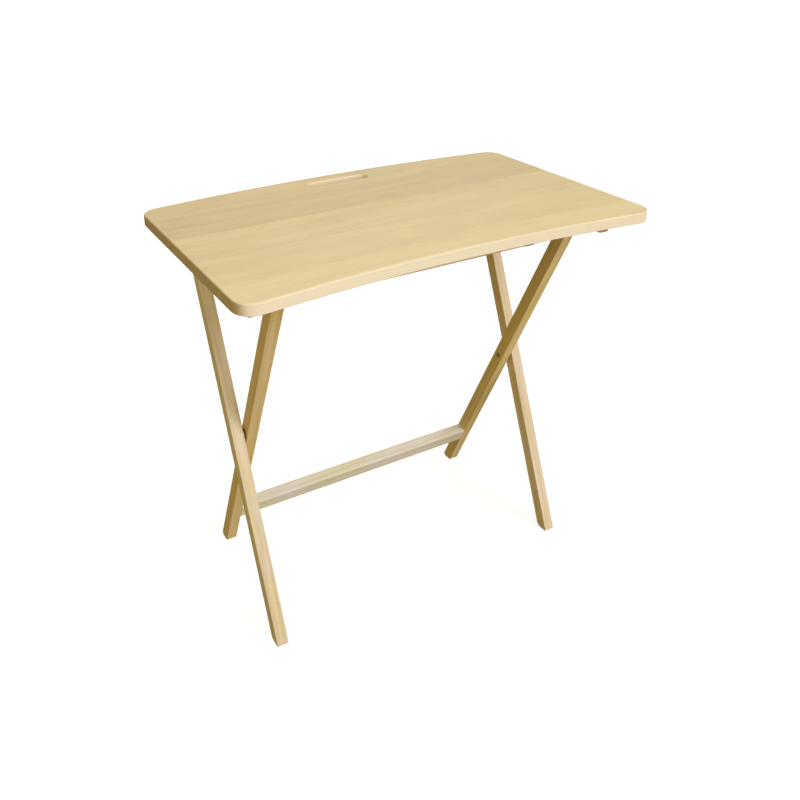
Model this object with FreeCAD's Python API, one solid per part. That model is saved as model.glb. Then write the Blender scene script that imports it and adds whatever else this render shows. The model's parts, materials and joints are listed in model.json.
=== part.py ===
import FreeCAD, Part
import math
import os

# Folding tray table: a curved wooden top on a crossed pair of leg frames.
# Millimetres. +X is to the right, +Y is to the back, +Z is up.
# The origin is on the floor, under the middle of the top's overall box.

V = FreeCAD.Vector

# Top
TOP_WIDTH = 702.0
TOP_DEPTH = 405.0            # front corner to back corner, before rounding
TOP_HEIGHT = 660.0
TOP_THICK = 18.0
EDGE_BOW = 23.5              # both long edges bow this far towards the back
CORNER_R = 28.0
TOP_EDGE_R = 2.5
UNDER_EDGE_R = 1.2
SLOT_LENGTH = 114.0
SLOT_WIDTH = 22.0
SLOT_WALL = 26.5             # wood left between the slot and the back edge

# Crossed legs
FOOT_SPREAD = 280.0          # between the feet's centre lines, on the floor
PIVOT_Y = 8.5
LEG_W = 20.0                 # along X
LEG_D = 22.0                 # front to back, square to the leg
LEG_EDGE_R = 1.5
TOE_R = 3.0                  # front lower edge of each foot
OUTER_HEEL_R = 12.0          # back lower edge of an outer leg's foot
INNER_HEEL_R = 6.0           # back lower edge of an inner leg's foot
OUTER_LEG_X = 294.0          # outer face of each outer leg
LEG_GAP = 4.0                # between an outer leg and an inner leg

# Rails
HINGE_DROP = 13.0            # hinge axis below the underside of the top
OUTER_BAR_R = 7.0
INNER_TOP_GAP = 2.0          # inner legs' ends pass this far under the top
INNER_BAR_DROP = 9.5         # inner frame's bar below its legs' ends, along the leg
INNER_BAR_BACK = 2.5         # inner frame's bar behind its legs' centre lines
INNER_BAR_R = 6.5
BAR_SEAT = 10.0              # depth of a bar's seat in its leg
RAIL_FOOT_S = 83.5           # foot to the underside of the rail, along the leg
RAIL_H = 31.0
RAIL_D = 20.0
PEG_R = 4.0
PEG_REACH = 12.0             # into the leg and into the rail
PEG_PITCH = 15.0

# Hardware
BOLT_R = 3.0
RUNNING = 0.05               # radial clearance of a running fit
SIDE_GAP = 0.3               # side clearance between turning parts
WASHER_T = 1.0
SINK_R = 5.5                 # hole that hides a pivot bolt's head
SINK_DEPTH = 7.0
SINK_CHAMFER = 0.8
PIVOT_WASHER_R = 5.2
INSERT_R = 4.0
INSERT_L = 14.0
INSERT_END = 1.0             # closed end of the insert
SPACER_R = 8.0

# Heads: radius, height, rounding, socket across its flats, socket depth
PIVOT_HEAD = (4.7, 3.5, 0.6, 4.0, 2.3)
HINGE_HEAD = (5.5, 3.2, 2.0, 4.0, 2.0)
SCREW_HEAD = (4.0, 2.6, 1.0, 3.0, 1.6)
CATCH_SCREW_HEAD = (3.4, 2.0, 1.0, 2.5, 1.2)

# Battens and hinges under the top
CLEAT_GAP = 5.0              # between an outer leg and a batten
CLEAT_W = 18.0
CLEAT_H = 30.0
CLEAT_FRONT_Y = -155.5
CLEAT_BACK_Y = 178.0
CLEAT_EDGE_R = 1.2
CLEAT_SCREW_Y = (-132.0, -18.0, 96.0)
SCREW_R = 2.0
SCREW_SINK_R = 4.3
SCREW_SINK_DEPTH = 10.0
SCREW_BITE = 12.0            # how far a screw goes up into the top
BUSH_R = 4.5
BUSH_FLANGE_R = 8.0
HINGE_WASHER_R = 8.0
HINGE_BOLT_BITE = 15.0       # into the outer frame's top bar, past the leg

# Catches that hold the inner frame's top bar
CATCH_X = 180.0
CATCH_W = 18.0
CATCH_BASE_W = 26.0
CATCH_BASE_T = 3.0
CATCH_BASE_FRONT = 26.0
CATCH_BASE_BACK = 30.0
CATCH_BASE_CORNER_R = 4.0
CATCH_JAW = 5.0
CATCH_BODY_BACK = 15.0
CATCH_JAW_DROP = 2.0
CATCH_CLEAR = 0.3
CATCH_SCREW_INSET = 7.0
CATCH_SCREW_R = 1.75
CATCH_SCREW_BITE = 11.0

# Worked out from the sizes above
UNDERSIDE = TOP_HEIGHT - TOP_THICK
HALF_WIDTH = TOP_WIDTH / 2
PIVOT_Z = UNDERSIDE / 2
LEAN = math.atan2(FOOT_SPREAD / 2, PIVOT_Z)
HINGE_S = (UNDERSIDE - HINGE_DROP - PIVOT_Z) / math.cos(LEAN)
FOOT_S = -PIVOT_Z / math.cos(LEAN)
RAIL_S = FOOT_S + RAIL_FOOT_S
INNER_TOP_S = UNDERSIDE - PIVOT_Z - INNER_TOP_GAP - LEG_D / 2
INNER_BAR_S = INNER_TOP_S + LEG_D / 2 - INNER_BAR_DROP
OUTER_IN_X = OUTER_LEG_X - LEG_W
INNER_LEG_X = OUTER_IN_X - LEG_GAP
INNER_IN_X = INNER_LEG_X - LEG_W
CLEAT_X = OUTER_LEG_X + CLEAT_GAP
CLEAT_OUT_X = CLEAT_X + CLEAT_W
BOW_R = (HALF_WIDTH ** 2 + EDGE_BOW ** 2) / (2 * EDGE_BOW)

BACKWARD = 1                 # an outer leg leans back at its top
FORWARD = -1                 # an inner leg leans forward at its top
NEAR = 1e-3                  # tolerance when edges are picked by their place


def save(node, shape):
    os.makedirs("parts", exist_ok=True)
    shape.exportStep("parts/" + node + ".step")


def save_pair(node, right_shape):
    """Write a right-hand piece and its mirror image on the left."""
    save(node + "_right", right_shape)
    save(node + "_left", right_shape.mirror(V(0, 0, 0), V(1, 0, 0)))


def rod_x(x0, x1, y, z, radius):
    return Part.makeCylinder(radius, x1 - x0, V(x0, y, z), V(1, 0, 0))


def rod_z(x, y, z0, z1, radius):
    return Part.makeCylinder(radius, z1 - z0, V(x, y, z0), V(0, 0, 1))


def box(x0, x1, y0, y1, z0, z1):
    return Part.makeBox(x1 - x0, y1 - y0, z1 - z0, V(x0, y0, z0))


def hexagon(z0, z1, across):
    """A hexagonal prism on the Z axis."""
    corner = across / math.sqrt(3)
    turns = [math.radians(60 * i) for i in range(7)]
    ring = [V(corner * math.cos(a), corner * math.sin(a), z0) for a in turns]
    return Part.Face(Part.makePolygon(ring)).extrude(V(0, 0, z1 - z0))


def fillet(solid, radius, chosen):
    return solid.makeFillet(radius, [edge for edge in solid.Edges if chosen(edge)])


def along_x(edge):
    return edge.BoundBox.YLength < NEAR and edge.BoundBox.ZLength < NEAR


def in_x_plane(edge):
    return edge.BoundBox.XLength < NEAR


def fastener(head, shank_r, shank_l):
    """A socket-head fastener up the Z axis, with the face under its head at zero."""
    head_r, head_h, head_round, across, depth = head
    cap = fillet(rod_z(0, 0, -head_h, 0, head_r), head_round,
                 lambda edge: edge.BoundBox.ZMax < NEAR - head_h)
    return cap.fuse(rod_z(0, 0, 0, shank_l, shank_r)).cut(hexagon(-head_h, depth - head_h, across))


def laid_along_x(shape, direction, x, y, z):
    """Turns a shape's Z axis to +X or -X and moves its origin to a point."""
    shape.rotate(V(0, 0, 0), V(0, 1, 0), 90 * direction)
    shape.translate(V(x, y, z))
    return shape


def in_leg(lean, s, v):
    """Y and Z of a point s up a leg from the pivot and v behind its centre line."""
    up_y = lean * math.sin(LEAN)
    up_z = math.cos(LEAN)
    return PIVOT_Y + up_y * s + up_z * v, PIVOT_Z + up_z * s - up_y * v


def at_leg(x, lean, s, v):
    y, z = in_leg(lean, s, v)
    return V(x, y, z)


# The top

def slot_back_y():
    return TOP_DEPTH / 2 + EDGE_BOW - SLOT_WALL


def corner_centres():
    """Y of the front and back corner arcs' centres, from the middle of the depth."""
    across = HALF_WIDTH - CORNER_R
    front_bow_y = -TOP_DEPTH / 2 + EDGE_BOW - BOW_R
    back_bow_y = TOP_DEPTH / 2 + EDGE_BOW - BOW_R
    front = front_bow_y + math.sqrt((BOW_R + CORNER_R) ** 2 - across ** 2)
    back = back_bow_y + math.sqrt((BOW_R - CORNER_R) ** 2 - across ** 2)
    return front, back


def top_shift():
    """How far back the top moves so that its box is centred on the origin."""
    front, _ = corner_centres()
    return -(TOP_DEPTH / 2 + EDGE_BOW + front - CORNER_R) / 2


def corner_arc(centre, start, end):
    """The three points of a corner's arc, from one direction to another."""
    middle = (start + end).normalize()
    return [centre + direction * CORNER_R for direction in (start, middle, end)]


def top_outline():
    front, back = corner_centres()
    across = HALF_WIDTH - CORNER_R
    front_mid = V(0, -TOP_DEPTH / 2 + EDGE_BOW, 0)
    back_mid = V(0, TOP_DEPTH / 2 + EDGE_BOW, 0)
    front_centre = V(across, front, 0)
    back_centre = V(across, back, 0)
    to_front_bow = (front_mid - V(0, BOW_R, 0) - front_centre).normalize()
    from_back_bow = (back_centre - back_mid + V(0, BOW_R, 0)).normalize()
    front_arc = corner_arc(front_centre, to_front_bow, V(1, 0, 0))
    back_arc = corner_arc(back_centre, V(1, 0, 0), from_back_bow)

    def left(point):
        return V(-point.x, point.y, point.z)

    edges = [Part.Arc(*front_arc), Part.LineSegment(front_arc[2], back_arc[0])]
    edges += [Part.Arc(*back_arc), Part.Arc(back_arc[2], back_mid, left(back_arc[2]))]
    edges += [Part.Arc(*[left(p) for p in reversed(back_arc)])]
    edges += [Part.LineSegment(left(back_arc[0]), left(front_arc[2]))]
    edges += [Part.Arc(*[left(p) for p in reversed(front_arc)])]
    edges += [Part.Arc(left(front_arc[0]), front_mid, front_arc[0])]
    wire = Part.Wire([edge.toShape() for edge in edges])
    wire.translate(V(0, top_shift(), UNDERSIDE))
    return wire


def hand_slot():
    reach = (SLOT_LENGTH - SLOT_WIDTH) / 2
    radius = SLOT_WIDTH / 2
    y = slot_back_y() - radius + top_shift()
    slot = box(-reach, reach, y - radius, y + radius, UNDERSIDE, TOP_HEIGHT)
    for x in (-reach, reach):
        slot = slot.fuse(rod_z(x, y, UNDERSIDE, TOP_HEIGHT, radius))
    return slot.removeSplitter()


def screw_holes_in_top():
    holes = []
    for y in CLEAT_SCREW_Y:
        x = CLEAT_X + CLEAT_W / 2
        holes.append(rod_z(x, y, UNDERSIDE, UNDERSIDE + SCREW_BITE, SCREW_R))
    for y in catch_screw_ys():
        holes.append(rod_z(CATCH_X, y, UNDERSIDE, UNDERSIDE + CATCH_SCREW_BITE, CATCH_SCREW_R))
    return holes + [hole.mirror(V(0, 0, 0), V(1, 0, 0)) for hole in holes]


def top_panel():
    panel = Part.Face(top_outline()).extrude(V(0, 0, TOP_THICK)).cut(hand_slot())

    def upper(edge):
        return edge.BoundBox.ZMin > TOP_HEIGHT - NEAR

    def lower(edge):
        return edge.BoundBox.ZMax < UNDERSIDE + NEAR

    panel = fillet(panel, TOP_EDGE_R, upper)
    panel = fillet(panel, UNDER_EDGE_R, lower)
    for hole in screw_holes_in_top():
        panel = panel.cut(hole)
    return panel


# Legs and rails

def plain_leg(lean, x0, top_s, heel_r):
    """A leg with a round top end and a foot cut level with the floor."""
    half = LEG_D / 2
    lift = lean * math.tan(LEAN) * half
    foot_front = at_leg(x0, lean, FOOT_S - lift, -half)
    foot_back = at_leg(x0, lean, FOOT_S + lift, half)
    top_front = at_leg(x0, lean, top_s, -half)
    top_mid = at_leg(x0, lean, top_s + half, 0)
    top_back = at_leg(x0, lean, top_s, half)
    edges = [Part.LineSegment(foot_front, top_front), Part.Arc(top_front, top_mid, top_back)]
    edges += [Part.LineSegment(top_back, foot_back), Part.LineSegment(foot_back, foot_front)]
    wire = Part.Wire([edge.toShape() for edge in edges])
    leg = Part.Face(wire).extrude(V(LEG_W, 0, 0))

    def corner_edge(corner):
        middle = corner + V(LEG_W / 2, 0, 0)
        return lambda edge: edge.CenterOfMass.distanceToPoint(middle) < NEAR

    leg = fillet(leg, TOE_R, corner_edge(foot_front))
    leg = fillet(leg, heel_r, corner_edge(foot_back))
    return fillet(leg, LEG_EDGE_R, in_x_plane)


def outer_leg():
    y, z = in_leg(BACKWARD, HINGE_S, 0)
    leg = plain_leg(BACKWARD, OUTER_IN_X, HINGE_S, OUTER_HEEL_R)
    leg = leg.cut(rod_x(OUTER_IN_X, OUTER_IN_X + INSERT_L, PIVOT_Y, PIVOT_Z, INSERT_R))
    leg = leg.cut(rod_x(OUTER_IN_X, OUTER_IN_X + BAR_SEAT, y, z, OUTER_BAR_R))
    return leg.cut(rod_x(OUTER_IN_X, OUTER_LEG_X, y, z, BOLT_R))


def inner_leg():
    y, z = in_leg(FORWARD, INNER_BAR_S, INNER_BAR_BACK)
    leg = plain_leg(FORWARD, INNER_IN_X, INNER_TOP_S, INNER_HEEL_R)
    leg = leg.cut(rod_x(INNER_IN_X, INNER_LEG_X, PIVOT_Y, PIVOT_Z, BOLT_R + RUNNING))
    leg = leg.cut(rod_x(INNER_IN_X, INNER_IN_X + SINK_DEPTH, PIVOT_Y, PIVOT_Z, SINK_R))
    mouth = Part.makeCone(SINK_R + SINK_CHAMFER, SINK_R, SINK_CHAMFER,
                          V(INNER_IN_X, PIVOT_Y, PIVOT_Z), V(1, 0, 0))
    leg = leg.cut(mouth)
    leg = leg.cut(rod_x(INNER_IN_X, INNER_IN_X + BAR_SEAT, y, z, INNER_BAR_R))
    for peg in rail_pegs():
        leg = leg.cut(peg)
    return leg


def outer_top_bar():
    y, z = in_leg(BACKWARD, HINGE_S, 0)
    end = OUTER_IN_X + BAR_SEAT
    bar = rod_x(-end, end, y, z, OUTER_BAR_R)
    for x0 in (-end, end - HINGE_BOLT_BITE):
        bar = bar.cut(rod_x(x0, x0 + HINGE_BOLT_BITE, y, z, BOLT_R))
    return bar


def inner_top_bar():
    y, z = in_leg(FORWARD, INNER_BAR_S, INNER_BAR_BACK)
    end = INNER_IN_X + BAR_SEAT
    return rod_x(-end, end, y, z, INNER_BAR_R)


def rail_pegs():
    pegs = []
    for step in (-PEG_PITCH / 2, PEG_PITCH / 2):
        s = RAIL_S + RAIL_H / 2 + step
        y, z = in_leg(FORWARD, s, (RAIL_D - LEG_D) / 2)
        pegs.append(rod_x(INNER_IN_X - PEG_REACH, INNER_IN_X + PEG_REACH, y, z, PEG_R))
    return pegs


def lower_rail():
    """The rail between the inner legs, flush with their front faces."""
    front = -LEG_D / 2
    ends = [(RAIL_S, front), (RAIL_S + RAIL_H, front)]
    ends += [(RAIL_S + RAIL_H, front + RAIL_D), (RAIL_S, front + RAIL_D)]
    ring = [at_leg(-INNER_IN_X, FORWARD, s, v) for s, v in ends]
    rail = Part.Face(Part.makePolygon(ring + ring[:1])).extrude(V(2 * INNER_IN_X, 0, 0))
    rail = fillet(rail, LEG_EDGE_R, along_x)
    for peg in rail_pegs():
        rail = rail.cut(peg)
        rail = rail.cut(peg.mirror(V(0, 0, 0), V(1, 0, 0)))
    return rail


# Pivots at the crossing

def pivot_bolt():
    """A bolt from the inner leg's sunk hole into the outer leg."""
    seat = INNER_IN_X + SINK_DEPTH - SIDE_GAP - WASHER_T
    bolt = fastener(PIVOT_HEAD, BOLT_R, OUTER_IN_X + INSERT_L - INSERT_END - seat)
    return laid_along_x(bolt, 1, seat, PIVOT_Y, PIVOT_Z)


def pivot_washer():
    face = INNER_IN_X + SINK_DEPTH - SIDE_GAP
    disc = rod_x(face - WASHER_T, face, PIVOT_Y, PIVOT_Z, PIVOT_WASHER_R)
    return disc.cut(rod_x(face - WASHER_T, face, PIVOT_Y, PIVOT_Z, BOLT_R))


def pivot_spacer():
    x0 = INNER_LEG_X + SIDE_GAP
    disc = rod_x(x0, OUTER_IN_X, PIVOT_Y, PIVOT_Z, SPACER_R)
    return disc.cut(rod_x(x0, OUTER_IN_X, PIVOT_Y, PIVOT_Z, BOLT_R))


def pivot_insert():
    end = OUTER_IN_X + INSERT_L
    sleeve = rod_x(OUTER_IN_X, end, PIVOT_Y, PIVOT_Z, INSERT_R)
    return sleeve.cut(rod_x(OUTER_IN_X, end - INSERT_END, PIVOT_Y, PIVOT_Z, BOLT_R))


# Battens and hinges under the top

def cleat():
    y, z = in_leg(BACKWARD, HINGE_S, 0)
    bottom = UNDERSIDE - CLEAT_H
    bar = box(CLEAT_X, CLEAT_OUT_X, CLEAT_FRONT_Y, CLEAT_BACK_Y, bottom, UNDERSIDE)
    bar = fillet(bar, CLEAT_EDGE_R, lambda edge: edge.BoundBox.ZMin < UNDERSIDE - NEAR)
    bar = bar.cut(rod_x(CLEAT_X, CLEAT_OUT_X, y, z, BUSH_R))
    x = CLEAT_X + CLEAT_W / 2
    for screw_y in CLEAT_SCREW_Y:
        bar = bar.cut(rod_z(x, screw_y, bottom, UNDERSIDE, SCREW_R))
        bar = bar.cut(rod_z(x, screw_y, bottom, bottom + SCREW_SINK_DEPTH, SCREW_SINK_R))
    return bar


def cleat_screws():
    x = CLEAT_X + CLEAT_W / 2
    seat = UNDERSIDE - CLEAT_H + SCREW_SINK_DEPTH
    screw = fastener(SCREW_HEAD, SCREW_R, UNDERSIDE + SCREW_BITE - seat)
    return Part.makeCompound([screw.translated(V(x, y, seat)) for y in CLEAT_SCREW_Y])


def hinge_bush():
    """A flanged bush pressed into the batten, which turns on the hinge bolt."""
    y, z = in_leg(BACKWARD, HINGE_S, 0)
    x0 = OUTER_LEG_X + SIDE_GAP
    flange = rod_x(x0, CLEAT_X, y, z, BUSH_FLANGE_R)
    sleeve = rod_x(x0, CLEAT_OUT_X, y, z, BUSH_R)
    return flange.fuse(sleeve).cut(rod_x(x0, CLEAT_OUT_X, y, z, BOLT_R + RUNNING))


def hinge_washer():
    y, z = in_leg(BACKWARD, HINGE_S, 0)
    x0 = CLEAT_OUT_X + SIDE_GAP
    disc = rod_x(x0, x0 + WASHER_T, y, z, HINGE_WASHER_R)
    return disc.cut(rod_x(x0, x0 + WASHER_T, y, z, BOLT_R))


def hinge_bolt():
    """A round-headed bolt through the batten and the leg into the top bar."""
    y, z = in_leg(BACKWARD, HINGE_S, 0)
    seat = CLEAT_OUT_X + SIDE_GAP + WASHER_T
    tip = OUTER_IN_X + BAR_SEAT - HINGE_BOLT_BITE
    return laid_along_x(fastener(HINGE_HEAD, BOLT_R, seat - tip), -1, seat, y, z)


# Catches

def catch_screw_ys():
    y, _ = in_leg(FORWARD, INNER_BAR_S, INNER_BAR_BACK)
    front = y - CATCH_BASE_FRONT + CATCH_SCREW_INSET
    back = y + CATCH_BASE_BACK - CATCH_SCREW_INSET
    return front, back


def catch_way_out(y, z):
    """The space that the bar needs in a catch: its seat and its way to the back."""
    low_x = CATCH_X - CATCH_W / 2
    high_x = CATCH_X + CATCH_W / 2
    seat_r = INNER_BAR_R + CATCH_CLEAR
    path_r = math.hypot(y - PIVOT_Y, z - PIVOT_Z) + seat_r
    path = rod_x(low_x, high_x, PIVOT_Y, PIVOT_Z, path_r)
    corners = [V(low_x, PIVOT_Y, PIVOT_Z), V(low_x, y, z)]
    corners += [corners[1] * 2 - corners[0], V(low_x, PIVOT_Y, 2 * z - PIVOT_Z), corners[0]]
    behind = Part.Face(Part.makePolygon(corners)).extrude(V(CATCH_W, 0, 0))
    return rod_x(low_x, high_x, y, z, seat_r).fuse(path.common(behind))


def catch():
    """A saddle on the inner frame's bar, with a jaw in front and open behind."""
    y, z = in_leg(FORWARD, INNER_BAR_S, INNER_BAR_BACK)
    half = CATCH_W / 2
    base_half = CATCH_BASE_W / 2
    base = box(CATCH_X - base_half, CATCH_X + base_half, y - CATCH_BASE_FRONT,
               y + CATCH_BASE_BACK, UNDERSIDE - CATCH_BASE_T, UNDERSIDE)
    base = fillet(base, CATCH_BASE_CORNER_R, lambda edge: edge.BoundBox.ZLength > NEAR)
    jaw_y = y - INNER_BAR_R - CATCH_CLEAR - CATCH_JAW
    block = box(CATCH_X - half, CATCH_X + half, jaw_y, y + CATCH_BODY_BACK,
                z - CATCH_JAW_DROP, UNDERSIDE - CATCH_BASE_T)
    body = base.fuse(block.cut(catch_way_out(y, z)))
    for screw_y in catch_screw_ys():
        body = body.cut(rod_z(CATCH_X, screw_y, UNDERSIDE - CATCH_BASE_T, UNDERSIDE,
                              CATCH_SCREW_R))
    return body.removeSplitter()


def catch_screws():
    seat = UNDERSIDE - CATCH_BASE_T
    screw = fastener(CATCH_SCREW_HEAD, CATCH_SCREW_R, UNDERSIDE + CATCH_SCREW_BITE - seat)
    return Part.makeCompound([screw.translated(V(CATCH_X, y, seat)) for y in catch_screw_ys()])


save("top_panel", top_panel())
save("outer_top_bar", outer_top_bar())
save("inner_top_bar", inner_top_bar())
save("lower_rail", lower_rail())
save_pair("outer_leg", outer_leg())
save_pair("inner_leg", inner_leg())
save_pair("rail_pegs", Part.makeCompound(rail_pegs()))
save_pair("pivot_bolt", pivot_bolt())
save_pair("pivot_washer", pivot_washer())
save_pair("pivot_spacer", pivot_spacer())
save_pair("pivot_insert", pivot_insert())
save_pair("cleat", cleat())
save_pair("cleat_screws", cleat_screws())
save_pair("hinge_bush", hinge_bush())
save_pair("hinge_washer", hinge_washer())
save_pair("hinge_bolt", hinge_bolt())
save_pair("catch", catch())
save_pair("catch_screws", catch_screws())
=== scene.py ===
import json
import math

import bpy
from mathutils import Matrix, Vector


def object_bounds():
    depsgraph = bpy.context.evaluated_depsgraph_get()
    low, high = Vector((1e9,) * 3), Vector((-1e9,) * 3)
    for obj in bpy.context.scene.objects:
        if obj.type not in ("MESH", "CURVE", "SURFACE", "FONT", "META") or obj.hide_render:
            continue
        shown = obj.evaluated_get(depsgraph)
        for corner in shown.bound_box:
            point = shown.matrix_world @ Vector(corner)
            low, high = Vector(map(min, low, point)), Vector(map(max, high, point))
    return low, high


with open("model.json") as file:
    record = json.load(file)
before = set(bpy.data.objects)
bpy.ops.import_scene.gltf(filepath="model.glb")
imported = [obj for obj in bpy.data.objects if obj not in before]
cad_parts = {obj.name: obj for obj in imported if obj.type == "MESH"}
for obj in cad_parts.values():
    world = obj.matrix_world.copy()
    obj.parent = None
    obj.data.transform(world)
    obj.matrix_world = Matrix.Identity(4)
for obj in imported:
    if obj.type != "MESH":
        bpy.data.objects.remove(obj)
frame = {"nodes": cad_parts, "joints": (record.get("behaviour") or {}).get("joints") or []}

CAD_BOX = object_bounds()
NODES = frame["nodes"]
SIDES = ("left", "right")
WHITE = (1.0, 1.0, 1.0)
UNTURNED = (0.0, 0.0, 0.0)

# Light beech, linear colours
BEECH_PALE = (0.855, 0.745, 0.520)
BEECH_MID = (0.785, 0.655, 0.415)
BEECH_DARK = (0.560, 0.395, 0.205)
BEECH_WARM = (0.860, 0.700, 0.460)
# BEECH_WORN_AND_HIGHLIGHT is paler wood for the edges: wear, and a painted highlight
BEECH_WORN_AND_HIGHLIGHT = (0.930, 0.820, 0.610)
BOARD_TAN = (0.570, 0.445, 0.275)
BOARD_YELLOW = (0.880, 0.755, 0.465)
# END_GRAIN_AND_SHADE is darker end grain, deepened by painted shade on the top's ends and the
# battens' ends
END_GRAIN_AND_SHADE = (0.400, 0.290, 0.150)
# RAW_BEECH_AND_PAINTED_LIGHT is pale raw wood, and also painted light that brightens the top's long
# edges and slot walls
RAW_BEECH_AND_PAINTED_LIGHT = (0.980, 0.890, 0.720)

# What the colour of each kind of stick is multiplied by, and the ends of the drift along it
TINT_OUTER_LEG = (0.96, 0.98, 1.06)
TINT_INNER_LEG = (0.93, 0.88, 0.64)
TINT_RAIL = (1.06, 1.22, 1.70)
DRIFT_PINK = (1.03, 1.01, 1.11)
DRIFT_YELLOW = (0.97, 0.96, 0.78)

# Scales of the wood's marks, per metre: along the grain, then twice across it
BROAD_SCALE = (1.6, 16.0, 16.0)
STREAK_SCALE = (5.0, 150.0, 150.0)
FLECK_SCALE = (150.0, 1500.0, 1500.0)
CLOUD_SCALE = (5.0, 22.0, 22.0)
DRIFT_SCALE = (7.0, 12.0, 12.0)
PATCH_SCALE = 4.0
RING_SCALE = (0.16, 1.0, 1.0)
RING_SHIFT = (0.0, 0.02, 0.09)     # from the grain's axis, in metres
SEED_STEP = (1.7, 0.31, 0.53)      # from one stick's grain to the next's, in metres

# The part of each noise that makes a mark: none at the first value, full at the second
BROAD_RANGE = (0.30, 0.72)
STREAK_RANGE = (0.40, 0.72)
FLECK_RANGE = (0.62, 0.74)
PATCH_RANGE = (0.35, 0.70)
DRIFT_RANGE = (0.36, 0.64)
MIDDLE_RANGE = (0.30, 0.70)        # for the marks with no range of their own

# How far each mark covers the colour below it, from 0 to 1
STREAK_ON_BOARD = 0.20
STREAK_ON_STICK = 0.36
RING_COVER = 0.24
FLECK_COVER = 0.28
PATCH_COVER = 0.16
BOARD_COVER = 0.55
JOINT_COVER = 0.42
# TOP_END_GRAIN_AND_SHADE_COVER lays end grain and painted shade on the top's short edges
TOP_END_GRAIN_AND_SHADE_COVER = 0.65
# RAW_AND_PAINTED_LIGHT_COVER lays pale raw wood and painted light on the top's upright faces
RAW_AND_PAINTED_LIGHT_COVER = 0.70
# BATTEN_END_AND_SHADE_COVER lays end grain and painted shade on the battens' ends
BATTEN_END_AND_SHADE_COVER = 0.80
# WORN_AND_HIGHLIGHT_COVER lays wear and a painted highlight on the edges
WORN_AND_HIGHLIGHT_COVER = 0.35
RING_POWER = 3.0                   # narrows the rings

# The lacquer
WOOD_ROUGHNESS = (0.36, 0.50)      # between the streaks, and on them
WORN_POLISH = 0.06                 # how much smoother the edges are
STREAK_HEIGHT = 0.6                # where a fleck is 1 deep

# The glued boards of the top. Board 0 starts at BOARD_START, and numbers rise to the back
BOARD_WIDTH = 0.092                # along Y, in metres
BOARD_START = -0.053               # one of the joints between boards, in metres
JOINT_HALF = 0.006                 # half of a joint, as a share of a board
TONE_BOARDS = (-2.0, 1.0)          # the front board, and the first of the two at the back
TONES = (0.85, 0.05)               # their tones: 1 is yellow and 0 is tan
TONE_CHANCE = 0.25                 # the most that chance adds to a board's tone
TONE_DRIFT = 0.16                  # how far the tone drifts within a board
GRAIN_JUMP = (3.0, 0.4, 0.2)       # the most that the grain jumps at a joint, in metres

# How squarely a face looks along an axis where its mask starts and where it is full
END_GRAIN_AND_SHADE_FACING = (0.55, 0.90)
RAW_AND_PAINTED_LIGHT_FACING = (0.60, 0.30)
BATTEN_END_AND_SHADE_FACING = (0.80, 0.97)
OUTER_SHARE = 0.8                  # of half the top's length, beyond which edges get end grain and painted shade

# Edges: the cosine between the flat and the rounded normal, and radii in metres
EDGE_COSINES = (0.995, 0.93)
BEVEL_SAMPLES = 4
WOOD_EDGE = 0.0016
METAL_EDGE = 0.0003
PLASTIC_EDGE = 0.0004

# Hardware: linear colours
ZINC_STEEL = (0.60, 0.59, 0.56)
BRASS = (0.70, 0.53, 0.25)
BROWN_NYLON = (0.16, 0.085, 0.035)
WHITE_NYLON = (0.80, 0.78, 0.70)
BLACK_PLASTIC = (0.03, 0.03, 0.03)

# Its texture: scales per metre, how far each mark covers, and what is added to its roughness
TURNING_SCALE = (3000.0, 400.0, 400.0)
METAL_CLOUD_SCALE = 300.0
METAL_CLOUD_RANGE = (0.35, 0.70)
METAL_CLOUD_COVER = 0.35
METAL_EDGE_COVER = 0.50
METAL_SPREAD = (-0.08, 0.10)
PEBBLE_SCALE = 2500.0
PLASTIC_CLOUD_SCALE = 90.0
PLASTIC_CLOUD_COVER = 0.30
PLASTIC_EDGE_COVER = 0.25
PLASTIC_SPREAD = (-0.06, 0.08)

# Suns: where each shines from, its strength in watts per square metre, its linear colour
DAYLIGHT = (0.98, 1.00, 1.12)
WARM_LIGHT = (1.00, 0.86, 0.55)
KEY = "key"
SUNS = ((KEY, (0.30, -0.67, 0.55), 1.18, DAYLIGHT),
        ("front", (0.15, -0.98, 0.12), 1.15, DAYLIGHT),
        ("overhead", (0.0, 0.0, 1.0), 0.78, DAYLIGHT),
        ("fill", (0.55, 0.83, 0.14), 1.70, DAYLIGHT),
        ("side", (-0.90, -0.15, 0.30), 0.28, WARM_LIGHT))
SOFTNESS = math.radians(28.0)      # the angle that each sun fills in the sky

# The room and its floor
ROOM_COLOUR = (1.00, 0.84, 0.36)
ROOM_POWER = 0.38
FLOOR_REACH = 30.0                 # from the middle to each edge, in metres
FLOOR_BOUNCE = (0.32, 0.25, 0.12)  # its colour in the light that it sends back
FLOOR_SEEN = (0.25, 0.25, 0.25)    # its colour to the camera, which sets how dark shadows are
FLOOR_GLOW = 0.86                  # what it adds of its own, to the camera alone

# Camera: metres, radians (yaw to the right, pitch down, roll), millimetres
CAMERA_PLACE = (-0.6785, -1.0556, 1.0949)
CAMERA_TURN = (0.4975, 0.4385, -0.0103)
CAMERA_SENSOR = 36.0
CAMERA_LENS = 37.49
CAMERA_SHIFT = (0.0820, -0.1300)

# A Mix node has several sockets of each name. These are the ones for colours
MIX_FACTOR = 0
MIX_FIRST = 6
MIX_SECOND = 7
MIX_RESULT = 2


# Node graphs

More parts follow.
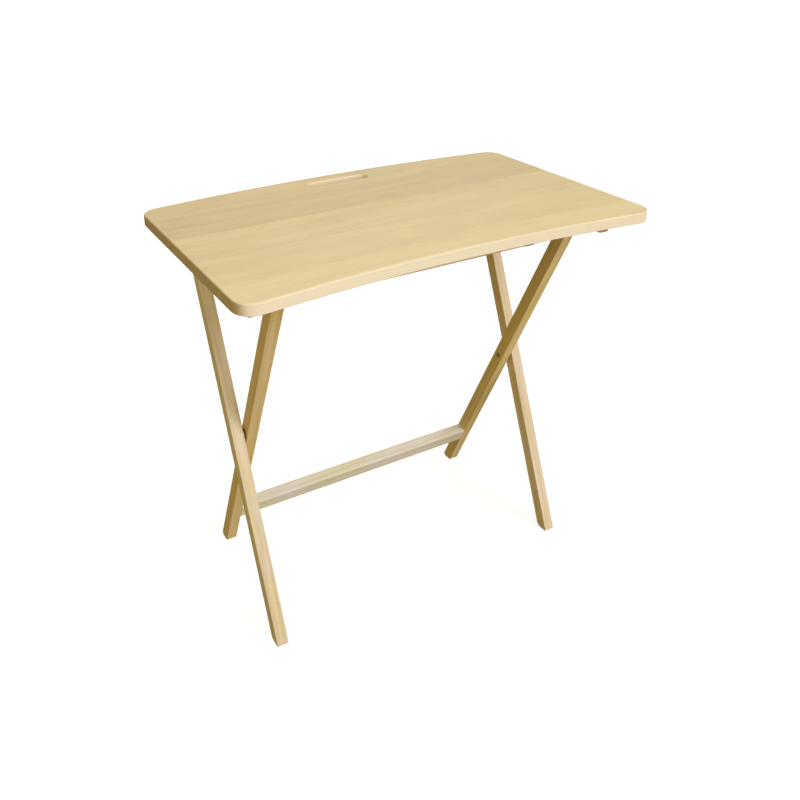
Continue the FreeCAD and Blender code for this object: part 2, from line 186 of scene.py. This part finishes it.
class Graph:
    """A material's node tree, with short calls to add nodes and links."""

    def __init__(self, name):
        self.material = bpy.data.materials.new(name)
        self.material.use_nodes = True
        self.tree = self.material.node_tree
        self.shader = self.tree.nodes["Principled BSDF"]

    def add(self, kind, inputs=None, **settings):
        node = self.tree.nodes.new("ShaderNode" + kind)
        for key, value in settings.items():
            setattr(node, key, value)
        for key, value in (inputs or {}).items():
            self.put(value, node.inputs[key])
        return node

    def put(self, value, socket):
        """Links a node's output to a socket, or sets the socket to a number or a colour."""
        if isinstance(value, bpy.types.NodeSocket):
            self.tree.links.new(value, socket)
        elif socket.type == "RGBA":
            socket.default_value = (*value, 1.0)
        else:
            socket.default_value = value

    def finish(self, socket, value):
        """Sets or links one of the shader's own sockets."""
        self.put(value, self.shader.inputs[socket])

    def object_place(self):
        return self.add("TexCoord").outputs["Object"]

    def math(self, operation, first, second=0.0, clamp=False):
        node = self.add("Math", {0: first, 1: second}, operation=operation, use_clamp=clamp)
        return node.outputs[0]

    def mix(self, factor, first, second, blend="MIX"):
        node = self.add("Mix", {MIX_FACTOR: factor, MIX_FIRST: first, MIX_SECOND: second},
                        data_type="RGBA", blend_type=blend)
        return node.outputs[MIX_RESULT]

    def cover(self, colour, mask, share, layer):
        """Covers a colour with another where the mask says, by up to that share."""
        return self.mix(self.math("MULTIPLY", mask, share), colour, layer)

    def remap(self, value, limits, results=(0.0, 1.0)):
        """Carries a value from one range to another, and holds it within the second."""
        node = self.add("MapRange", {"Value": value, "From Min": limits[0], "From Max": limits[1],
                                     "To Min": results[0], "To Max": results[1]})
        return node.outputs[0]

    def mapped(self, vector, scale=(1.0, 1.0, 1.0), turn=UNTURNED, shift=(0.0, 0.0, 0.0)):
        """Coordinates that are scaled, then turned, then moved."""
        node = self.add("Mapping", {"Vector": vector, "Scale": scale, "Rotation": turn,
                                    "Location": shift})
        return node.outputs[0]

    def noise(self, vector, scale=1.0, detail=3.0, roughness=0.5, distortion=0.0):
        node = self.add("TexNoise", {"Vector": vector, "Scale": scale, "Detail": detail,
                                     "Roughness": roughness, "Distortion": distortion})
        return node.outputs[0]

    def rings(self, vector, scale, distortion, detail, detail_scale):
        """Growth rings around X."""
        node = self.add("TexWave", {"Vector": vector, "Scale": scale, "Distortion": distortion,
                                    "Detail": detail, "Detail Scale": detail_scale},
                        wave_type="RINGS", rings_direction="X")
        return node.outputs["Fac"]

    def facing(self, axis):
        """How squarely a face looks along a world axis, either way, from 0 to 1.

        The masks made from it are true at rest, and don't turn with a piece that tilts.
        """
        normal = self.add("SeparateXYZ", {0: self.add("NewGeometry").outputs["Normal"]})
        return self.math("ABSOLUTE", normal.outputs[axis])

    def edges(self, radius):
        """1 on the edges and 0 on the flats."""
        rounded = self.add("Bevel", {"Radius": radius}, samples=BEVEL_SAMPLES).outputs[0]
        flat = self.add("NewGeometry").outputs["Normal"]
        same = self.add("VectorMath", {0: rounded, 1: flat}, operation="DOT_PRODUCT")
        return self.remap(same.outputs["Value"], EDGE_COSINES)

    def bump(self, height, strength, distance):
        node = self.add("Bump", {"Height": height, "Strength": strength, "Distance": distance})
        self.finish("Normal", node.outputs[0])


# Wood

def grain_place(graph, place, seed, turn=UNTURNED):
    """Coordinates with the grain along X, moved by the seed so that no two sticks match."""
    return graph.mapped(place, turn=turn, shift=tuple(seed * step for step in SEED_STEP))


def beech(graph, place, grain, streak_cover):
    """The plain wood's colour, and then its streaks and flecks, for the lacquer to follow."""
    broad = graph.noise(graph.mapped(grain, BROAD_SCALE), detail=4.0, distortion=0.4)
    streak = graph.noise(graph.mapped(grain, STREAK_SCALE), detail=5.0, roughness=0.6)
    rings = graph.rings(graph.mapped(grain, RING_SCALE, shift=RING_SHIFT), scale=26.0, distortion=7.0,
                        detail=3.0, detail_scale=1.3)
    fleck = graph.remap(graph.noise(graph.mapped(grain, FLECK_SCALE), detail=1.0), FLECK_RANGE)
    patch = graph.noise(place, scale=PATCH_SCALE, detail=2.0)

    colour = graph.mix(graph.remap(broad, BROAD_RANGE), BEECH_PALE, BEECH_MID)
    colour = graph.mix(graph.remap(streak, STREAK_RANGE, (0.0, streak_cover)), colour, BEECH_DARK)
    colour = graph.cover(colour, graph.math("POWER", rings, RING_POWER), RING_COVER, BEECH_DARK)
    colour = graph.cover(colour, fleck, FLECK_COVER, BEECH_DARK)
    colour = graph.mix(graph.remap(patch, PATCH_RANGE, (0.0, PATCH_COVER)), colour, BEECH_WARM)
    return colour, streak, fleck


def lacquer(graph, colour, streak, fleck):
    """Paler edges, partly worn wood and partly a painted highlight, a satin gloss, and pores in the
    surface.
    """
    worn_and_painted_highlight = graph.edges(WOOD_EDGE)
    graph.finish("Base Color", graph.cover(colour, worn_and_painted_highlight, WORN_AND_HIGHLIGHT_COVER, BEECH_WORN_AND_HIGHLIGHT))
    rough = graph.remap(streak, MIDDLE_RANGE, WOOD_ROUGHNESS)
    polish = graph.math("MULTIPLY", worn_and_painted_highlight, WORN_POLISH)
    graph.finish("Roughness", graph.math("SUBTRACT", rough, polish))
    height = graph.math("SUBTRACT", graph.math("MULTIPLY", streak, STREAK_HEIGHT), fleck)
    graph.bump(height, strength=0.10, distance=0.0003)
    graph.finish("Coat Weight", 0.06)
    graph.finish("Coat Roughness", 0.30)
    return graph.material


def board_numbers(graph, place):
    """The number of the board at a point, and 1 on the joints between boards."""
    across = graph.add("SeparateXYZ", {0: place}).outputs["Y"]
    count = graph.math("DIVIDE", graph.math("SUBTRACT", across, BOARD_START), BOARD_WIDTH)
    to_joint = graph.math("ABSOLUTE", graph.math("SUBTRACT", count, graph.math("ROUND", count)))
    return graph.math("FLOOR", count), graph.remap(to_joint, (0.0, JOINT_HALF), (1.0, 0.0))


def own_board(graph, number, grain):
    """Each board's own tone, and the grain moved so that it breaks off at each joint."""
    random = graph.add("TexWhiteNoise", {"W": number}, noise_dimensions="1D")
    chance = graph.math("MULTIPLY", random.outputs["Value"], TONE_CHANCE)
    tone = graph.math("ADD", chance, graph.remap(number, TONE_BOARDS, TONES))
    jump = graph.add("VectorMath", {0: random.outputs["Color"], 1: GRAIN_JUMP},
                     operation="MULTIPLY").outputs[0]
    moved = graph.add("VectorMath", {0: grain, 1: jump}, operation="ADD").outputs[0]
    return tone, moved


def edge_masks(graph, place):
    """End grain deepened by painted shade on the top's short edges, and pale raw wood with painted
    light on its long edges and slot walls.
    """
    endwise = graph.remap(graph.facing("X"), END_GRAIN_AND_SHADE_FACING)
    upright = graph.remap(graph.facing("Z"), RAW_AND_PAINTED_LIGHT_FACING)
    along = graph.math("ABSOLUTE", graph.add("SeparateXYZ", {0: place}).outputs["X"])
    outer = graph.math("GREATER_THAN", along, OUTER_SHARE * CAD_BOX[1][0])
    end_grain_and_shade = graph.math("MULTIPLY", endwise, outer)
    raw_and_painted_light = graph.math("MULTIPLY", upright, graph.math("SUBTRACT", 1.0, end_grain_and_shade))
    return end_grain_and_shade, raw_and_painted_light


def board_wood(name, seed):
    """Beech boards glued side by side, with their grain along X."""
    graph = Graph(name)
    place = graph.object_place()
    number, joint = board_numbers(graph, place)
    tone, grain = own_board(graph, number, grain_place(graph, place, seed))
    colour, streak, fleck = beech(graph, place, grain, STREAK_ON_BOARD)
    cloud = graph.noise(graph.mapped(grain, CLOUD_SCALE), detail=3.0, distortion=1.2)
    drift = graph.remap(cloud, MIDDLE_RANGE, (-TONE_DRIFT, TONE_DRIFT))
    board = graph.mix(graph.math("ADD", tone, drift, clamp=True), BOARD_TAN, BOARD_YELLOW)
    colour = graph.mix(BOARD_COVER, colour, board)
    colour = graph.cover(colour, joint, JOINT_COVER, BEECH_DARK)
    end_grain_and_shade, raw_and_painted_light = edge_masks(graph, place)
    # The top's short edges get end grain, darkened further as painted shade
    colour = graph.cover(colour, end_grain_and_shade, TOP_END_GRAIN_AND_SHADE_COVER, END_GRAIN_AND_SHADE)
    # The top's upright faces get pale raw wood and painted light
    colour = graph.cover(colour, raw_and_painted_light, RAW_AND_PAINTED_LIGHT_COVER, RAW_BEECH_AND_PAINTED_LIGHT)
    return lacquer(graph, colour, streak, fleck)


def stick_wood(name, seed, turn=UNTURNED, tint=WHITE, dark_end_grain_and_shade=False):
    """One stick of beech, with its grain along X once it is turned."""
    graph = Graph(name)
    place = graph.object_place()
    grain = grain_place(graph, place, seed, turn)
    colour, streak, fleck = beech(graph, place, grain, STREAK_ON_STICK)
    drift = graph.noise(graph.mapped(grain, DRIFT_SCALE), detail=2.0)
    drift = graph.mix(graph.remap(drift, DRIFT_RANGE), DRIFT_PINK, DRIFT_YELLOW)
    colour = graph.mix(1.0, colour, drift, blend="MULTIPLY")
    colour = graph.mix(1.0, colour, tint, blend="MULTIPLY")
    # The battens' ends facing along Y are darkened: end grain, and painted shade
    if dark_end_grain_and_shade:
        end_grain_and_shade = graph.remap(graph.facing("Y"), BATTEN_END_AND_SHADE_FACING, (0.0, BATTEN_END_AND_SHADE_COVER))
        colour = graph.mix(end_grain_and_shade, colour, END_GRAIN_AND_SHADE)
    return lacquer(graph, colour, streak, fleck)


# Hardware

def shade(colour, gain, lift=0.0):
    """A colour made brighter or duller, with no part over 1."""
    return tuple(min(1.0, gain * part + lift) for part in colour)


def around(middle, spread):
    """The limits that a spread sets around a value."""
    return middle + spread[0], middle + spread[1]


def metal(name, colour, rough):
    """Plated metal with turned marks, duller clouds and brighter edges."""
    graph = Graph(name)
    place = graph.object_place()
    marks = graph.noise(graph.mapped(place, TURNING_SCALE), detail=2.0)
    cloud = graph.noise(place, scale=METAL_CLOUD_SCALE, detail=3.0)
    dull = graph.remap(cloud, METAL_CLOUD_RANGE, (0.0, METAL_CLOUD_COVER))
    base = graph.mix(dull, colour, shade(colour, gain=0.6))
    base = graph.cover(base, graph.edges(METAL_EDGE), METAL_EDGE_COVER, shade(colour, gain=1.3))
    graph.finish("Base Color", base)
    graph.finish("Roughness", graph.remap(marks, MIDDLE_RANGE, around(rough, METAL_SPREAD)))
    graph.bump(marks, strength=0.08, distance=0.00005)
    graph.finish("Metallic", 1.0)
    return graph.material


def plastic(name, colour, rough):
    """Moulded plastic with a fine spark-eroded texture, duller clouds and brighter edges."""
    graph = Graph(name)
    place = graph.object_place()
    pebble = graph.noise(place, scale=PEBBLE_SCALE, detail=2.0)
    cloud = graph.noise(place, scale=PLASTIC_CLOUD_SCALE, detail=3.0)
    dull = graph.remap(cloud, MIDDLE_RANGE, (0.0, PLASTIC_CLOUD_COVER))
    bright = shade(colour, gain=1.4, lift=0.03)
    base = graph.mix(dull, colour, shade(colour, gain=0.7))
    base = graph.cover(base, graph.edges(PLASTIC_EDGE), PLASTIC_EDGE_COVER, bright)
    graph.finish("Base Color", base)
    graph.finish("Roughness", graph.remap(pebble, MIDDLE_RANGE, around(rough, PLASTIC_SPREAD)))
    graph.bump(pebble, strength=0.15, distance=0.00008)
    return graph.material


# Finishes on the CAD nodes

def finish_node(node, material):
    """Gives a CAD node a material."""
    piece = NODES[node]
    if not piece.material_slots:
        piece.data.materials.append(material)
    for slot in piece.material_slots:
        slot.material = material


def leg_lean():
    """The angle of a leg from the vertical, from the pivot and the hinge axis."""
    joints = {joint["name"]: joint for joint in frame["joints"]}
    pivot = Vector(joints["leg_fold"]["pos_m"])
    hinge = Vector(joints["top_tilt"]["pos_m"])
    return math.atan2(hinge.y - pivot.y, hinge.z - pivot.z)


def dress_wood():
    """Beech on each wooden piece. The seeds keep one piece's grain from matching another's."""
    lean = leg_lean()
    quarter = math.pi / 2
    finish_node("top_panel", board_wood("beech_top_boards", seed=1.0))
    finish_node("lower_rail", stick_wood("beech_lower_rail", seed=2.0, tint=TINT_RAIL))
    finish_node("outer_top_bar", stick_wood("beech_outer_bar", seed=3.0))
    finish_node("inner_top_bar", stick_wood("beech_inner_bar", seed=4.0))
    for i, side in enumerate(SIDES):
        outer = stick_wood("beech_outer_leg_" + side, seed=5.0 + i, turn=(lean, quarter, 0.0),
                           tint=TINT_OUTER_LEG)
        inner = stick_wood("beech_inner_leg_" + side, seed=7.0 + i, turn=(-lean, quarter, 0.0),
                           tint=TINT_INNER_LEG)
        # The battens get end grain and painted shade on their ends
        batten = stick_wood("beech_cleat_" + side, seed=9.0 + i, turn=(0.0, 0.0, -quarter),
                            dark_end_grain_and_shade=True)
        pegs = stick_wood("beech_pegs_" + side, seed=11.0 + i)
        finish_node("outer_leg_" + side, outer)
        finish_node("inner_leg_" + side, inner)
        finish_node("cleat_" + side, batten)
        finish_node("rail_pegs_" + side, pegs)


def dress_hardware():
    steel = metal("zinc_steel", ZINC_STEEL, rough=0.34)
    brass = metal("brass", BRASS, rough=0.35)
    brown = plastic("brown_nylon", BROWN_NYLON, rough=0.5)
    white = plastic("white_nylon", WHITE_NYLON, rough=0.45)
    black = plastic("black_plastic", BLACK_PLASTIC, rough=0.45)
    for side in SIDES:
        for node in ("pivot_bolt", "pivot_washer", "hinge_bolt", "hinge_washer",
                     "cleat_screws", "catch_screws"):
            finish_node(node + "_" + side, steel)
        finish_node("pivot_insert_" + side, brass)
        finish_node("pivot_spacer_" + side, brown)
        finish_node("hinge_bush_" + side, white)
        finish_node("catch_" + side, black)


# Stage

def make_floor():
    """White to the camera, with faint shadows, and dull in the light that it sends back."""
    low, high = -FLOOR_REACH, FLOOR_REACH
    mesh = bpy.data.meshes.new("floor")
    corners = [(low, low, 0), (high, low, 0), (high, high, 0), (low, high, 0)]
    mesh.from_pydata(corners, [], [(0, 1, 2, 3)])
    floor = bpy.data.objects.new("floor", mesh)
    bpy.context.scene.collection.objects.link(floor)
    graph = Graph("floor_paint")
    seen = graph.add("LightPath").outputs["Is Camera Ray"]
    graph.finish("Base Color", graph.mix(seen, FLOOR_BOUNCE, FLOOR_SEEN))
    graph.finish("Emission Strength", graph.math("MULTIPLY", seen, FLOOR_GLOW))
    graph.finish("Emission Color", WHITE)
    graph.finish("Specular IOR Level", 0.0)
    graph.finish("Roughness", 1.0)
    mesh.materials.append(graph.material)


def make_suns():
    """Broad suns, of which only the key shows in glossy reflections."""
    for name, source, power, colour in SUNS:
        data = bpy.data.lights.new(name, "SUN")
        data.angle = SOFTNESS
        data.energy = power
        data.color = colour
        sun = bpy.data.objects.new(name, data)
        sun.rotation_euler = Vector(source).to_track_quat("Z", "Y").to_euler()
        sun.visible_glossy = name == KEY
        bpy.context.scene.collection.objects.link(sun)


def make_room():
    """White to the camera, and a warm dim light to everything else."""
    world = bpy.data.worlds.new("studio")
    world.use_nodes = True
    bpy.context.scene.world = world
    tree = world.node_tree
    room = tree.nodes["Background"]
    room.inputs["Strength"].default_value = ROOM_POWER
    room.inputs["Color"].default_value = (*ROOM_COLOUR, 1.0)
    backdrop = tree.nodes.new("ShaderNodeBackground")
    backdrop.inputs["Color"].default_value = (*WHITE, 1.0)
    seen = tree.nodes.new("ShaderNodeLightPath")
    choose = tree.nodes.new("ShaderNodeMixShader")
    tree.links.new(seen.outputs["Is Camera Ray"], choose.inputs[0])
    tree.links.new(room.outputs[0], choose.inputs[1])
    tree.links.new(backdrop.outputs[0], choose.inputs[2])
    tree.links.new(choose.outputs[0], tree.nodes["World Output"].inputs["Surface"])


def make_camera():
    """In front and to the left, above the top, looking down and to the right."""
    yaw, pitch, roll = CAMERA_TURN
    level = math.cos(pitch)
    forward = Vector((math.sin(yaw) * level, math.cos(yaw) * level, -math.sin(pitch)))
    data = bpy.data.cameras.new("camera")
    data.sensor_width = CAMERA_SENSOR
    data.lens = CAMERA_LENS
    data.shift_x, data.shift_y = CAMERA_SHIFT
    camera = bpy.data.objects.new("camera", data)
    turn = forward.to_track_quat("-Z", "Y") @ Matrix.Rotation(roll, 3, "Z").to_quaternion()
    camera.rotation_mode = "QUATERNION"
    camera.rotation_quaternion = turn
    camera.location = CAMERA_PLACE
    bpy.context.scene.collection.objects.link(camera)
    bpy.context.scene.camera = camera


dress_wood()
dress_hardware()
make_floor()
make_suns()
make_room()
make_camera()
bpy.context.scene.view_settings.view_transform = "Standard"
